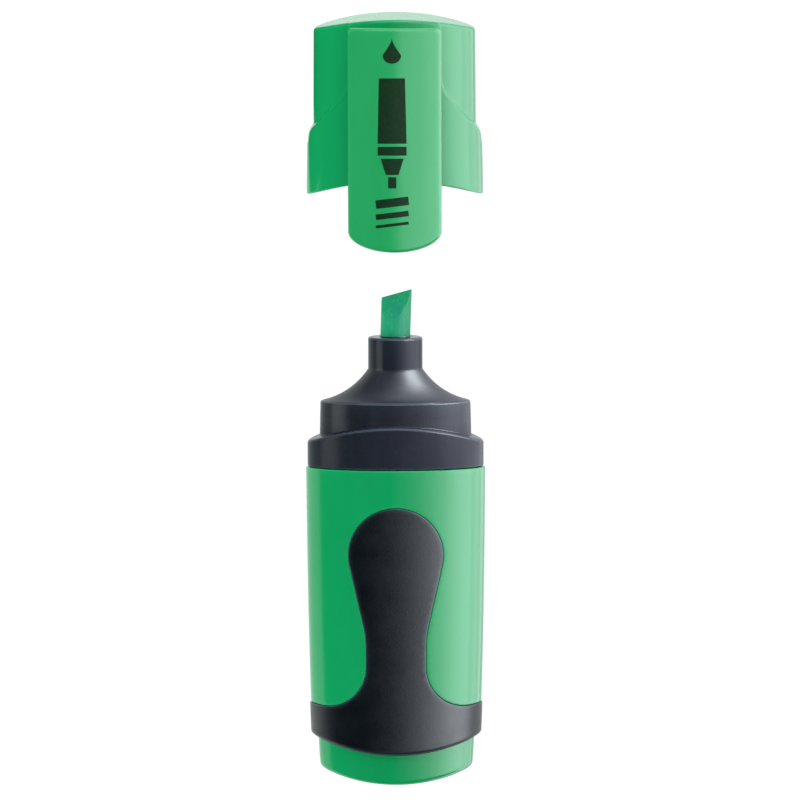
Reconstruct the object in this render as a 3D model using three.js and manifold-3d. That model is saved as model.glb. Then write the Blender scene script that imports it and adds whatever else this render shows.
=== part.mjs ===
// A pocket highlighter with its cap pulled off in line with the pen, lying on its back.
// Units are millimetres. +X runs across the pen, +Y along it from the tail to the nib,
// and +Z up, through the clip side. The origin is on the flat strip that the pen rests on.
//
// The parts are drawn about the pen's own axis, with y = 0 at the tip of the tail and the
// cap closed. Nested groups then lift the axis above the table and slide the cap off.

import * as THREE from 'three';
import { mergeVertices } from 'three/addons/utils/BufferGeometryUtils.js';
import ManifoldModule from 'manifold-3d';

const wasm = await ManifoldModule();
wasm.setup();

// ---- Driving dimensions -------------------------------------------------------------

const OVAL_FLATS = 48; // flats round an oval section, with one flat centred on +Z and -Z
const ROUND_FLATS = 36; // flats round a circular section
const ACROSS = 15; // half-width of a cutting block, wider than the pen
const ALONG = 60; // length of a cutting block
const REACH = 20; // half-depth of a cutting block, deeper than the pen
const FIT = 0.05; // clearance between pieces that are pushed or moulded together
const PAST = 1; // how far a cutting or joined block runs past the face it meets
const ARC_STEPS = 10; // steps on each rounded stretch of a front-view outline
const CURVE_STEPS = 24; // steps on an arch or a half-oval end

const BARREL_WIDTH = 24.14; // across the oval at the mouth
const BARREL_TAPER = 0.021; // steady narrowing towards the tail
const BARREL_CURVE = 1.65e-5; // further narrowing that grows with the cube of the distance
const BARREL_SPAN = [2, 40]; // heights between which the grip is cut from the barrel's surface
const BARREL_RINGS = 6; // steps along the barrel's surface
const BARREL_DEPTH = 15; // through the oval, the same along the whole barrel
const MOUTH_Y = 42.6; // where the barrel meets the front section
const ARCH_RADIUS = 33; // arch shared by the cap's rim and its stop on the front section

const GRIP_PROUD = 0.14; // how far the rubber stands out of the barrel
const GRIP_DEEP = 0.75; // how far it is let into the barrel

const NIB_RADIUS = 2.02;
const NOZZLE_RADIUS = 3.67;
const NOZZLE_TOP = 60.1;

const CAP_TRAVEL = 33.15; // how far the cap is pulled off at rest
const ROOF_RADIUS = 39; // arch of the cap's roof
const ROOF_Y = 70.22; // top of the roof on the pen's axis, with the cap closed
const CLIP_WIDTH = 12.58;
const CLIP_INNER = 7.85; // height of the clip's inner face above the pen's axis
const CLIP_OUTER = 9.5; // height of the clip's crown above the pen's axis

// The grip reaches furthest back, and its middle flat is what the pen lies on.
const REST_Y = 24;
const AXIS_HEIGHT = (BARREL_DEPTH / 2 + GRIP_PROUD) * Math.cos(Math.PI / OVAL_FLATS);

const BORE = {
  tailWidth: 18.4, // the stretch that holds the tail plug's spigot
  tailDepth: 10.8,
  tailEnd: 12.6,
  middleWidth: 19.8, // from here the bore widens steadily to the mouth
  middleDepth: 11.2,
  middleY: 16,
  mouthWidth: 21.2,
  mouthDepth: 12.2,
};

const TAIL = {
  arcRadius: 26, // rounded end, seen from the front
  tipWidth: 20.55,
  tipDepth: 11.7,
  tipY: 2.6,
  rootWidth: 20.95,
  rootDepth: 12.3,
  rootY: 7,
  spigotWidth: 18.3,
  spigotDepth: 10.7,
  spigotEnd: 12.5,
  spigotLead: 0.8, // taper at the spigot's end
  hollowWidth: 15.8,
  hollowDepth: 8.2,
  floor: 2.4,
};

const GRIP = {
  lowerRadius: 29, // arched lower edge of the band
  lowerY: 4.1,
  upperRadius: 100, // sagging upper edge of the band
  upperY: 10.15,
  flareRadius: 5.4, // sweep from the band into the tongue
  waist: 4.02, // half-width of the tongue's narrowest part
  waistRadius: 14,
  slope: THREE.MathUtils.degToRad(13), // lean of the tongue's sides
  headRadius: 6.38,
  headY: 31.15,
};

const FRONT = {
  skirtEnd: 36.2, // end of the skirt inside the barrel
  skirtWidth: 20.64,
  skirtDepth: 11.72,
  skirtTopWidth: 21.04,
  skirtTopDepth: 12,
  flangeWidth: 23.7,
  flangeDepth: 14.6,
  flangeTop: 48.35,
  neckWidth: 20.4,
  neckDepth: 12.3,
  neckTopWidth: 20.2,
  neckTopDepth: 12.2,
  neckTop: 51.5,
  coneRadius: 9.9, // hollow sweep from the neck to the nozzle
  coneTop: 55.8,
  coneSteps: 8,
  lip: 0.3, // bevel round the nozzle's end
  hollowWidth: 17.8,
  hollowDepth: 9.7,
  hollowTop: 49.3,
  hollowTipWidth: 8.4,
  hollowTipDepth: 7.2,
  hollowTipY: 52.3,
};

const CORE = { width: 16.9, depth: 9.1, start: 13.2, end: 49, nibDepth: 5.6 };
const FILM = { wall: 0.12, end: 48.6 };

const NIB = {
  start: 43.6,
  startBevel: 0.4,
  edgeY: 65.94, // height of the writing edge on the nib's axis
  edgeSlant: 0.292, // rise of the writing edge across the nib
  bevel: 1.84, // rise of each bevel towards the edge
  land: 0.3, // thickness left along the edge
  reach: 3, // half-size of the block that shapes the tip, wider than the rod
  turn: THREE.MathUtils.degToRad(-15), // the bevel faces a little to the left
};

const CAP = {
  start: 44.35, // lower than the rim's lowest corner
  rimWidth: 23.72,
  skirtWidth: 23.52,
  skirtDepth: 14.5,
  bodyWidth: 21.92,
  bodyTopWidth: 21.72,
  bodyDepth: 14.3,
  mouthWidth: 20.9,
  mouthDepth: 12.6,
  seatWidth: 20.5,
  seatDepth: 12.5,
  seatTop: 52.45, // end of the stretch that grips the neck
  boreStart: 53.05,
  boreWidth: 19.4,
  boreDepth: 12.1,
  roof: 1.25, // thickness of the roof
};

const WING = {
  sideY: 53.45, // top of the upright side of a wing
  cornerRadius: 3.1, // rounded corner between the side and the slanted edge
  slope: Math.atan(1.088), // slant of the wing's upper edge
  sweepRadius: 5, // sweep from the slanted edge up along the clip
  columnWidth: 12.4, // raised column behind the clip
};

const INNER_CAP = {
  radius: 4.6,
  bore: 3.74,
  lead: 0.25, // flare at the mouth that guides the nozzle in
  leadHeight: 0.6,
  mouth: 57.35,
  floor: 67.55,
  top: 68.5,
  lip: 5.6,
  lipHeight: 0.8,
};

const CLIP = {
  top: 69.22,
  rootEnd: 63.85, // below this the clip is free of the cap
  rootSink: 1.5, // how far the root block is sunk in the cap's wall
  tip: 39.05,
  tipHeight: 2.8, // half-oval end, seen from the front
  crownRadius: 22,
  crownFlats: 180,
  split: 0.15, // gap at the flexing line
  padWidth: 6,
  padLength: 2.6,
  padRamp: 1.2,
  padY: 43.75,
  padHeight: 0.2,
  padSink: 0.4, // how far the pad's block is sunk in the blade
};

// ---- Materials ----------------------------------------------------------------------

const finish = (color, roughness) => new THREE.MeshStandardMaterial({ color, roughness, metalness: 0 });

const GREEN_PLASTIC = 0x0f9f60;
const DARK_PLASTIC = 0x33363d;
const BLACK_RUBBER = 0x22262d;
const PALE_PLASTIC = 0xdfe8e2;
const WET_FELT = 0x2fae72;
const WET_FIBRE = 0x55c98c;
const CLEAR_FILM = 0xd9efe2;

// ---- Solids from three.js geometry --------------------------------------------------

// Makes a closed solid of a geometry, dropping the flat triangles on a lathe's axis.
function solidOf(geometry) {
  const bare = geometry.index ? geometry.clone() : mergeVertices(geometry);
  bare.deleteAttribute('normal');
  bare.deleteAttribute('uv');
  const merged = mergeVertices(bare, 1e-5);
  const corners = merged.index.array;
  const kept = [];
  for (let i = 0; i < corners.length; i += 3) {
    const [a, b, c] = corners.slice(i, i + 3);
    if (a !== b && b !== c && c !== a) kept.push(a, b, c);
  }
  return new wasm.Manifold(
    new wasm.Mesh({
      numProp: 3,
      vertProperties: new Float32Array(merged.attributes.position.array),
      triVerts: new Uint32Array(kept),
    }),
  );
}

function geometryOf(solid) {
  const mesh = solid.getMesh();
  const geometry = new THREE.BufferGeometry();
  geometry.setAttribute('position', new THREE.BufferAttribute(new Float32Array(mesh.vertProperties), 3));
  geometry.setIndex(new THREE.BufferAttribute(new Uint32Array(mesh.triVerts), 1));
  geometry.computeVertexNormals();
  return geometry;
}

function meshOf(name, solid, color, roughness) {
  const mesh = new THREE.Mesh(geometryOf(solid), finish(color, roughness));
  mesh.name = name;
  return mesh;
}

// An upright stack of oval rings, each [full width, full depth, y], closed at both ends.
function ovalStack(rings) {
  const profile = rings.map(([width, , y]) => new THREE.Vector2(width / 2, y));
  profile.unshift(new THREE.Vector2(0, rings[0][2]));
  profile.push(new THREE.Vector2(0, rings.at(-1)[2]));
  const squash = [1, ...rings.map(([width, depth]) => depth / width), 1];
  const geometry = new THREE.LatheGeometry(profile, OVAL_FLATS, Math.PI / OVAL_FLATS);
  const position = geometry.attributes.position;
  for (let i = 0; i < position.count; i++) {
    position.setZ(i, position.getZ(i) * squash[i % profile.length]);
  }
  return solidOf(geometry);
}

// A round turned solid from [radius, y] pairs, closed at both ends.
function turned(pairs) {
  const profile = pairs.map(([radius, y]) => new THREE.Vector2(radius, y));
  profile.unshift(new THREE.Vector2(0, pairs[0][1]));
  profile.push(new THREE.Vector2(0, pairs.at(-1)[1]));
  return solidOf(new THREE.LatheGeometry(profile, ROUND_FLATS));
}

// A front-view outline carried from z = from to z = to.
function extruded(shape, from = -REACH, to = REACH) {
  const settings = { depth: to - from, bevelEnabled: false, curveSegments: CURVE_STEPS };
  const geometry = new THREE.ExtrudeGeometry(shape, settings);
  return solidOf(geometry.translate(0, 0, from));
}

// Everything under (side = -1) or over (side = 1) an arch whose crown or foot is at y.
// A positive radius bulges towards +Y, and a negative one towards the tail.
function archBlock(radius, y, side) {
  const r = Math.abs(radius);
  const bulge = Math.sign(radius);
  const sweep = Math.asin(ACROSS / r);
  const centre = y - bulge * r;
  const shape = new THREE.Shape();
  shape.moveTo(ACROSS, y + side * ALONG);
  shape.lineTo(-ACROSS, y + side * ALONG);
  shape.absarc(0, centre, r, bulge * (Math.PI / 2 + sweep), bulge * (Math.PI / 2 - sweep), bulge > 0);
  return extruded(shape);
}

const below = (radius, y) => archBlock(radius, y, -1);
const above = (radius, y) => archBlock(radius, y, 1);

// ---- Barrel, grip and tail ----------------------------------------------------------

// The barrel narrows slowly at first and faster near the tail.
function barrelWidth(y) {
  const back = MOUTH_Y - y;
  return BARREL_WIDTH - BARREL_TAPER * back - BARREL_CURVE * back ** 3;
}

// The barrel's outer surface grown by a margin, from one height to another.
function barrelSurface(margin, from, to) {
  const rings = [];
  for (let i = 0; i <= BARREL_RINGS; i++) {
    const y = THREE.MathUtils.lerp(from, to, i / BARREL_RINGS);
    rings.push([barrelWidth(y) + 2 * margin, BARREL_DEPTH + 2 * margin, y]);
  }
  return ovalStack(rings);
}

// The front view of the band and its tongue, grown by a margin. The lower edge is cut later.
function gripOutline(margin) {
  const upper = GRIP.upperRadius - margin;
  const upperCentre = GRIP.upperY + GRIP.upperRadius;
  const flare = GRIP.flareRadius - margin;
  const waist = GRIP.waist + margin;
  const flareX = waist + flare;
  const flareY = upperCentre - Math.sqrt((upper - flare) ** 2 - flareX ** 2);
  const head = GRIP.headRadius + margin;
  const bend = GRIP.waistRadius - margin;
  const lineX = head * Math.cos(GRIP.slope);
  const lineY = GRIP.headY - head * Math.sin(GRIP.slope);
  const bendX = waist + bend;
  const bendTop = lineY - (lineX - bendX + bend * Math.cos(GRIP.slope)) / Math.tan(GRIP.slope);
  const bendY = bendTop - bend * Math.sin(GRIP.slope);
  const meet = Math.atan2(flareY - upperCentre, flareX);
  const edge = -Math.acos(ACROSS / upper);

  const right = new THREE.Path();
  right.moveTo(0, 0);
  right.lineTo(ACROSS, 0);
  right.absarc(0, upperCentre, upper, edge, meet, true);
  right.absarc(flareX, flareY, flare, meet, -Math.PI, true);
  right.absarc(bendX, bendY, bend, Math.PI, Math.PI - GRIP.slope, true);
  right.absarc(0, GRIP.headY, head, -GRIP.slope, Math.PI / 2, false);
  const side = right.getPoints(ARC_STEPS);
  const mirrored = side.slice(1, -1).reverse().map((p) => new THREE.Vector2(-p.x, p.y));
  return new THREE.Shape([...side, ...mirrored]);
}

function gripSleeve() {
  const [from, to] = BARREL_SPAN;
  const outside = barrelSurface(GRIP_PROUD, from, to - PAST);
  const inside = barrelSurface(-GRIP_DEEP, from - PAST, to);
  return outside
    .subtract(inside)
    .intersect(extruded(gripOutline(0)))
    .intersect(above(-GRIP.lowerRadius, GRIP.lowerY));
}

function barrel() {
  const [from, to] = BARREL_SPAN;
  const cavity = ovalStack([
    [BORE.tailWidth, BORE.tailDepth, 0],
    [BORE.tailWidth, BORE.tailDepth, BORE.tailEnd],
    [BORE.middleWidth, BORE.middleDepth, BORE.middleY],
    [BORE.mouthWidth, BORE.mouthDepth, MOUTH_Y + PAST],
  ]);
  const recess = barrelSurface(PAST, from - PAST, to)
    .subtract(barrelSurface(-GRIP_DEEP - FIT, from - 2 * PAST, to + PAST))
    .intersect(extruded(gripOutline(FIT)));
  return barrelSurface(0, from, MOUTH_Y)
    .intersect(above(-GRIP.lowerRadius, GRIP.lowerY + FIT))
    .subtract(cavity)
    .subtract(recess);
}

// The stub that shows behind the band, and a hollow spigot pushed up inside the barrel.
function tailPlug() {
  const stub = ovalStack([
    [TAIL.tipWidth, TAIL.tipDepth, -PAST],
    [TAIL.tipWidth, TAIL.tipDepth, TAIL.tipY],
    [TAIL.rootWidth, TAIL.rootDepth, TAIL.rootY],
  ]).intersect(below(-GRIP.lowerRadius, GRIP.lowerY));
  const spigot = ovalStack([
    [TAIL.spigotWidth, TAIL.spigotDepth, TAIL.floor],
    [TAIL.spigotWidth, TAIL.spigotDepth, TAIL.spigotEnd - TAIL.spigotLead],
    [TAIL.spigotWidth - TAIL.spigotLead, TAIL.spigotDepth - TAIL.spigotLead, TAIL.spigotEnd],
  ]);
  const hollow = ovalStack([
    [TAIL.hollowWidth, TAIL.hollowDepth, TAIL.floor],
    [TAIL.hollowWidth, TAIL.hollowDepth, TAIL.spigotEnd + PAST],
  ]);
  return stub.add(spigot).intersect(above(-TAIL.arcRadius, 0)).subtract(hollow);
}

// ---- Front section, nib and ink reservoir -------------------------------------------

// Rings of the hollow cone: oval at the neck, round at the nozzle.
function coneRings() {
  const neck = FRONT.neckTopWidth / 2;
  const rise = FRONT.coneTop - FRONT.neckTop;
  const run = neck - NOZZLE_RADIUS;
  const chord = Math.hypot(rise, run);
  const midX = (neck + NOZZLE_RADIUS) / 2;
  const midY = (FRONT.neckTop + FRONT.coneTop) / 2;
  const bow = Math.sqrt(FRONT.coneRadius ** 2 - (chord / 2) ** 2);
  const centreX = midX + (bow * rise) / chord;
  const centreY = midY + (bow * run) / chord;
  const first = Math.atan2(FRONT.neckTop - centreY, neck - centreX);
  const last = Math.atan2(FRONT.coneTop - centreY, NOZZLE_RADIUS - centreX);
  const rings = [];
  for (let i = 0; i <= FRONT.coneSteps; i++) {
    const angle = THREE.MathUtils.lerp(first, last, i / FRONT.coneSteps);
    const halfWidth = centreX + FRONT.coneRadius * Math.cos(angle);
    const share = (halfWidth - NOZZLE_RADIUS) / run;
    const halfDepth = THREE.MathUtils.lerp(NOZZLE_RADIUS, FRONT.neckTopDepth / 2, share);
    rings.push([2 * halfWidth, 2 * halfDepth, centreY + FRONT.coneRadius * Math.sin(angle)]);
  }
  return rings;
}

function frontSection() {
  const nozzle = 2 * NOZZLE_RADIUS;
  const nozzleEnd = nozzle - 2 * FRONT.lip;
  const neckAndNozzle = ovalStack([
    [FRONT.neckWidth, FRONT.neckDepth, MOUTH_Y + PAST],
    ...coneRings(),
    [nozzle, nozzle, NOZZLE_TOP - FRONT.lip],
    [nozzleEnd, nozzleEnd, NOZZLE_TOP],
  ]);
  const flange = ovalStack([
    [FRONT.flangeWidth, FRONT.flangeDepth, MOUTH_Y + FIT],
    [FRONT.flangeWidth, FRONT.flangeDepth, FRONT.flangeTop + PAST],
  ]).intersect(below(ARCH_RADIUS, FRONT.flangeTop));
  const skirt = ovalStack([
    [FRONT.skirtWidth, FRONT.skirtDepth, FRONT.skirtEnd],
    [FRONT.skirtTopWidth, FRONT.skirtTopDepth, MOUTH_Y + PAST],
  ]);
  const hollow = ovalStack([
    [FRONT.hollowWidth, FRONT.hollowDepth, FRONT.skirtEnd - PAST],
    [FRONT.hollowWidth, FRONT.hollowDepth, FRONT.hollowTop],
    [FRONT.hollowTipWidth, FRONT.hollowTipDepth, FRONT.hollowTipY],
  ]);
  const bore = turned([
    [NIB_RADIUS + FIT, MOUTH_Y],
    [NIB_RADIUS + FIT, NOZZLE_TOP + PAST],
  ]);
  return neckAndNozzle.add(flange).add(skirt).subtract(hollow).subtract(bore);
}

// A round rod whose end is cut to a slanted chisel with a narrow flat along its edge.
function nib() {
  const rod = turned([
    [NIB_RADIUS - NIB.startBevel, NIB.start],
    [NIB_RADIUS, NIB.start + NIB.startBevel],
    [NIB_RADIUS, NIB.edgeY + PAST],
  ]);
  const half = NIB.land / 2;
  const drop = NIB.bevel * (NIB.reach - half);
  const wedge = new THREE.Shape();
  wedge.moveTo(-NIB.reach, 0);
  wedge.lineTo(NIB.reach, 0);
  wedge.lineTo(NIB.reach, NIB.edgeY - drop);
  wedge.lineTo(half, NIB.edgeY);
  wedge.lineTo(-half, NIB.edgeY);
  wedge.lineTo(-NIB.reach, NIB.edgeY - drop);
  const geometry = new THREE.ExtrudeGeometry(wedge, { depth: 2 * NIB.reach, bevelEnabled: false });
  geometry.translate(0, 0, -NIB.reach).rotateY(Math.PI / 2);
  geometry.applyMatrix4(new THREE.Matrix4().makeShear(NIB.edgeSlant, 0, 0, 0, 0, 0));
  return rod.intersect(solidOf(geometry));
}

function reservoirCore() {
  const nibHole = turned([
    [NIB_RADIUS + FIT, CORE.end - CORE.nibDepth],
    [NIB_RADIUS + FIT, CORE.end + PAST],
  ]);
  return ovalStack([
    [CORE.width, CORE.depth, CORE.start],
    [CORE.width, CORE.depth, CORE.end],
  ]).subtract(nibHole);
}

function reservoirFilm() {
  const inner = 2 * FIT;
  const outer = inner + 2 * FILM.wall;
  return ovalStack([
    [CORE.width + outer, CORE.depth + outer, CORE.start],
    [CORE.width + outer, CORE.depth + outer, FILM.end],
  ]).subtract(
    ovalStack([
      [CORE.width + inner, CORE.depth + inner, CORE.start - PAST],
      [CORE.width + inner, CORE.depth + inner, FILM.end + PAST],
    ]),
  );
}

// ---- Cap, inner cap and clip --------------------------------------------------------

// Front view of the wings, and of the raised column between them that carries the clip.
function wingOutline() {
  const { slope, cornerRadius, sweepRadius } = WING;
  const side = CAP.skirtWidth / 2;
  const column = WING.columnWidth / 2;
  const cornerX = side - cornerRadius;
  const turn = Math.PI / 2 - slope;
  const lineX = cornerX + cornerRadius * Math.cos(turn);
  const lineY = WING.sideY + cornerRadius * Math.sin(turn);
  const sweepX = column + sweepRadius;
  const sweepEndX = sweepX - sweepRadius * Math.cos(turn);
  const sweepEndY = lineY + (lineX - sweepEndX) * Math.tan(slope);
  const sweepY = sweepEndY + sweepRadius * Math.sin(turn);

  const right = new THREE.Path();
  right.moveTo(side + PAST, 0);
  right.lineTo(side + PAST, WING.sideY);
  right.absarc(cornerX, WING.sideY, cornerRadius, 0, turn, false);
  right.absarc(sweepX, sweepY, sweepRadius, Math.PI + turn, Math.PI, true);
  right.lineTo(column, ROOF_Y + 2 * PAST);
  const points = right.getPoints(ARC_STEPS);
  const mirrored = points.slice().reverse().map((p) => new THREE.Vector2(-p.x, p.y));
  return new THREE.Shape([...points, ...mirrored]);
}

// The clip's crowned outer surface, as a solid that keeps what lies under it.
function clipCrown() {
  const crown = new THREE.CylinderGeometry(CLIP.crownRadius, CLIP.crownRadius, 2 * ALONG, CLIP.crownFlats);
  return solidOf(crown.translate(0, ALONG, CLIP_OUTER - CLIP.crownRadius));
}

// Front view of the clip between two heights, with its half-oval end if it reaches the tip.
function clipOutline(from, to) {
  const half = CLIP_WIDTH / 2;
  const shape = new THREE.Shape();
  shape.moveTo(half, to);
  shape.lineTo(-half, to);
  if (from <= CLIP.tip) {
    const endY = CLIP.tip + CLIP.tipHeight;
    shape.absellipse(0, endY, half, CLIP.tipHeight, Math.PI, 2 * Math.PI, false, 0);
  } else {
    shape.lineTo(-half, from);
    shape.lineTo(half, from);
  }
  return shape;
}

function capShell() {
  const rimY = FRONT.flangeTop + FIT;
  const body = ovalStack([
    [CAP.bodyWidth, CAP.bodyDepth, CAP.start],
    [CAP.bodyTopWidth, CAP.bodyDepth, ROOF_Y + PAST],
  ]);
  const skirt = ovalStack([
    [CAP.rimWidth, CAP.skirtDepth, CAP.start],
    [CAP.skirtWidth, CAP.skirtDepth, WING.sideY],
    [CAP.skirtWidth, CAP.skirtDepth, ROOF_Y + PAST],
  ]).intersect(extruded(wingOutline()));
  const cavity = ovalStack([
    [CAP.mouthWidth, CAP.mouthDepth, CAP.start - PAST],
    [CAP.seatWidth, CAP.seatDepth, CAP.seatTop],
    [CAP.boreWidth, CAP.boreDepth, CAP.boreStart],
    [CAP.boreWidth, CAP.boreDepth, ROOF_Y + PAST],
  ]).intersect(below(ROOF_RADIUS, ROOF_Y - CAP.roof));
  const rootBlock = extruded(clipOutline(CLIP.rootEnd, CLIP.top), CAP.bodyDepth / 2 - CLIP.rootSink);
  const clipRoot = rootBlock.intersect(clipCrown());
  return body
    .add(skirt)
    .intersect(below(ROOF_RADIUS, ROOF_Y))
    .add(clipRoot)
    .intersect(above(ARCH_RADIUS, rimY))
    .subtract(cavity);
}

// The free blade of the clip, with a ramped pad inside its tip that holds on to cloth.
function pocketClip() {
  const outline = clipOutline(CLIP.tip, CLIP.rootEnd - CLIP.split);
  const blade = extruded(outline, CLIP_INNER).intersect(clipCrown());
  const reach = CLIP.padLength / 2 + CLIP.padRamp;
  const side = new THREE.Shape();
  side.moveTo(CLIP.padSink, -reach);
  side.lineTo(0, -reach);
  side.lineTo(-CLIP.padHeight, -CLIP.padLength / 2);
  side.lineTo(-CLIP.padHeight, CLIP.padLength / 2);
  side.lineTo(0, reach);
  side.lineTo(CLIP.padSink, reach);
  const pad = new THREE.ExtrudeGeometry(side, { depth: CLIP.padWidth, bevelEnabled: false });
  pad.translate(0, 0, -CLIP.padWidth / 2).rotateY(-Math.PI / 2).translate(0, CLIP.padY, CLIP_INNER);
  return blade.add(solidOf(pad));
}

function innerCap() {
  const cup = turned([
    [INNER_CAP.radius, INNER_CAP.mouth],
    [INNER_CAP.radius, INNER_CAP.top - INNER_CAP.lipHeight],
    [INNER_CAP.lip, INNER_CAP.top - INNER_CAP.lipHeight],
    [INNER_CAP.lip, INNER_CAP.top],
  ]);
  const bore = turned([
    [INNER_CAP.bore + INNER_CAP.lead, INNER_CAP.mouth],
    [INNER_CAP.bore, INNER_CAP.mouth + INNER_CAP.leadHeight],
    [INNER_CAP.bore, INNER_CAP.floor],
  ]);
  return cup.subtract(bore);
}

// ---- Scene graph --------------------------------------------------------------------

const nibMesh = meshOf('nib', nib(), WET_FELT, 0.7);
nibMesh.rotation.y = NIB.turn;

const pen = new THREE.Group();
pen.add(
  meshOf('barrel', barrel(), GREEN_PLASTIC, 0.35),
  meshOf('grip_sleeve', gripSleeve(), BLACK_RUBBER, 0.55),
  meshOf('tail_plug', tailPlug(), GREEN_PLASTIC, 0.35),
  meshOf('front_section', frontSection(), DARK_PLASTIC, 0.4),
  nibMesh,
  meshOf('reservoir_core', reservoirCore(), WET_FIBRE, 0.9),
  meshOf('reservoir_film', reservoirFilm(), CLEAR_FILM, 0.2),
);

const cap = new THREE.Group();
cap.add(
  meshOf('cap_shell', capShell(), GREEN_PLASTIC, 0.35),
  meshOf('inner_cap', innerCap(), PALE_PLASTIC, 0.5),
  meshOf('pocket_clip', pocketClip(), GREEN_PLASTIC, 0.35),
);
cap.position.y = CAP_TRAVEL;

const highlighter = new THREE.Group();
highlighter.add(pen, cap);
highlighter.position.set(0, -REST_Y, AXIS_HEIGHT);

export default highlighter;
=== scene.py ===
import math

import bmesh
import bpy
import numpy as np
from mathutils import Matrix, Vector
from mathutils.geometry import delaunay_2d_cdt

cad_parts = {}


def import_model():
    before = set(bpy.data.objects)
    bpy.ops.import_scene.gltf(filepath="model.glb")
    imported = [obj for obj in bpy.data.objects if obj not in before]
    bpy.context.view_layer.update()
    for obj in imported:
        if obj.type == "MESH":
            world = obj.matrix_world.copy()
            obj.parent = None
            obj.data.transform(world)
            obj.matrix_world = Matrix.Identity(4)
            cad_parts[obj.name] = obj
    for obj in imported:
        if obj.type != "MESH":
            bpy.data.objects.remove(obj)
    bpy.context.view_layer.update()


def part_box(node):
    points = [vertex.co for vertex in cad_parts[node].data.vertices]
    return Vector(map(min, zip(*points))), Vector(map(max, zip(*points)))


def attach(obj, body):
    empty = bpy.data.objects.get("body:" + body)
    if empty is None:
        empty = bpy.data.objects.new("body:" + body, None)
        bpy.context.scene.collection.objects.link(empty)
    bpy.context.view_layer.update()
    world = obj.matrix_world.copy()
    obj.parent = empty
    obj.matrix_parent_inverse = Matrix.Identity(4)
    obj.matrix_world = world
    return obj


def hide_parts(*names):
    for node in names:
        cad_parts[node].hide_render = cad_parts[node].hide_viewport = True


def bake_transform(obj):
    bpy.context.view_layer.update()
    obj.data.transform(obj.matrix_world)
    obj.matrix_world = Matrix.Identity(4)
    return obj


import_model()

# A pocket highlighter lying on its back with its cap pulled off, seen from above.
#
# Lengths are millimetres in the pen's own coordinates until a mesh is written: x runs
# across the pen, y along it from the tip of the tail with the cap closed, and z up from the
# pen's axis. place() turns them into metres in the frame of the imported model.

MM = 0.001
TAU = 2 * math.pi

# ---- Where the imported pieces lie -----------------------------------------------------

TAIL_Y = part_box("tail_plug")[0].y
AXIS_Z = sum(corner.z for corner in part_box("barrel")) / 2
ROOF_Y = 70.22
CAP_SHIFT = (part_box("cap_shell")[1].y - TAIL_Y) / MM - ROOF_Y

# ---- Driving dimensions: the CAD part's, and the roundings that only this model has ---

# An oval is its half width and half depth. GRIP_LOWER, GRIP_UPPER and GRIP_HEAD are a radius
# and a place along the pen. CLIP_PAD is half widths across and along, its ramp and its height.

FIT = 0.05
MOUTH_Y = 42.6
BARREL_HALF_DEPTH = 7.5
BARREL_HALF = 12.07
BARREL_TAPER = 0.0105
BARREL_CURVE = 0.825e-5
BARREL_EDGE = 0.18
BARREL_BORE = (((9.2, 5.4), None), ((9.2, 5.4), 12.6), ((9.9, 5.6), 16.0), ((10.6, 6.1), MOUTH_Y))
GRIP_PROUD = 0.14
GRIP_DEEP = 0.75
ARCH_RADIUS = 33.0

TAIL_ARC = 26.0
TAIL_TIP = (10.275, 5.85)
TAIL_ROOT = (10.475, 6.15)
TAIL_SPIGOT = (9.15, 5.35)
TAIL_SPIGOT_END = 12.5
TAIL_HOLLOW = (7.9, 4.1)
TAIL_HOLLOW_END = 3.0
TAIL_ROUND = 0.62

GRIP_LOWER = (29.0, 4.1)
GRIP_UPPER = (100.0, 10.15)
GRIP_FLARE = 5.4
GRIP_WAIST = 4.02
GRIP_BEND = 14.0
GRIP_SLOPE = math.radians(13)
GRIP_HEAD = (6.38, 31.15)
GRIP_UPPER_SIDE_Y = 10.4
GRIP_LOWER_SIDE_Y = 5.5
GRIP_LOWER_WRAP_Y = 6.4
GRIP_ROUND = (0.16, 0.65)
GRIP_BRIM = 0.1

NIB_RADIUS = 2.02
NOZZLE_RADIUS = 3.67
NOZZLE_MIDDLE_Y = 58.0
NOZZLE_TOP = 60.1
SKIRT_END = 36.2
SKIRT = (10.5, 5.99)
SKIRT_TAPER = (10.32, 5.86)
FLANGE = (11.85, 7.3)
FLANGE_TOP = 48.35
NECK = (10.2, 6.15)
NECK_TOP = (10.1, 6.1)
NECK_MIDDLE_Y = 49.6
NECK_TOP_Y = 51.5
CONE_RADIUS = 9.9
CONE_TOP = 55.8
FRONT_HOLLOW = (8.9, 4.85)
FRONT_HOLLOW_TOP = 49.3
FRONT_FUNNEL = (4.2, 3.6)
FRONT_FUNNEL_TOP = 52.3

CORE = (8.45, 4.55)
CORE_SPAN = (13.2, 49.0)
CORE_NIB_DEPTH = 5.6
CORE_EDGE = 0.3
FILM_WALL = 0.12
FILM_END = 48.6

NIB_START = 43.6
NIB_EDGE_Y = 65.94
NIB_SLANT = 0.292
NIB_BEVEL = 1.84
NIB_LAND = 0.3
NIB_LEAN = 0.035
NIB_TURN = math.radians(-15)

CAP_RIM_Y = FLANGE_TOP + FIT
CAP_RIM = (11.86, 7.25)
CAP_SKIRT = (11.76, 7.25)
CAP_BODY = (10.96, 7.15)
CAP_BODY_TOP = (10.86, 7.15)
CAP_MOUTH = (10.45, 6.3)
CAP_SEAT = (10.25, 6.25)
CAP_SEAT_TOP = 52.45
CAP_SEAT_RAMP = 0.6
CAP_INNER_ROUND = 0.5
CAP_BORE = (9.7, 6.05)
CAP_ROOF = 1.25
CAP_EDGE = 0.45
CAP_LIP = 0.2
ROOF_RADIUS = 39.0
WING_SIDE_Y = 53.45
WING_CORNER = 3.1
WING_SLOPE = math.atan(1.088)
WING_SWEEP = 5.0
WING_COLUMN = 6.2
WING_FLARE = 0.8

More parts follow.
